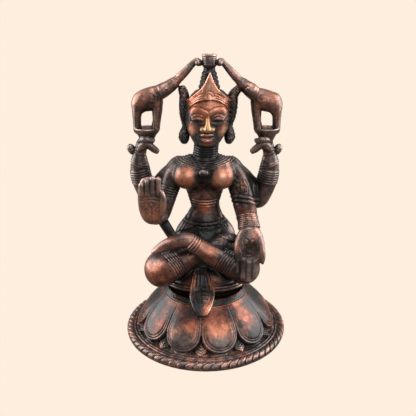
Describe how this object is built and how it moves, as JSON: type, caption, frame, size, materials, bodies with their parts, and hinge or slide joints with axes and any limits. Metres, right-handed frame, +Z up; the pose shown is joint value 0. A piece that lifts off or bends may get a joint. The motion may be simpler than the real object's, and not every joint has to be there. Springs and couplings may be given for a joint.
{
  "type": "gajalakshmi figure",
  "caption": "Cast brass goddess seated cross-legged on a round lotus plinth, with an elephant standing in a cup in each rear hand.",
  "frame": {"origin": "centre of the plinth's flat underside", "axes": "+Z up through the figure, the goddess faces -Y, +X is to the viewer's right"},
  "size_m": [0.13, 0.13, 0.22],
  "materials": {
    "figure_brass": "dark antique copper patina, rubbed bright on the high spots",
    "plinth_brass": "dark antique copper patina, mottled on the petals"
  },
  "bodies": {
    "root": {"goddess_figure": "figure_brass", "lotus_plinth": "plinth_brass"}
  },
  "joints": []
}
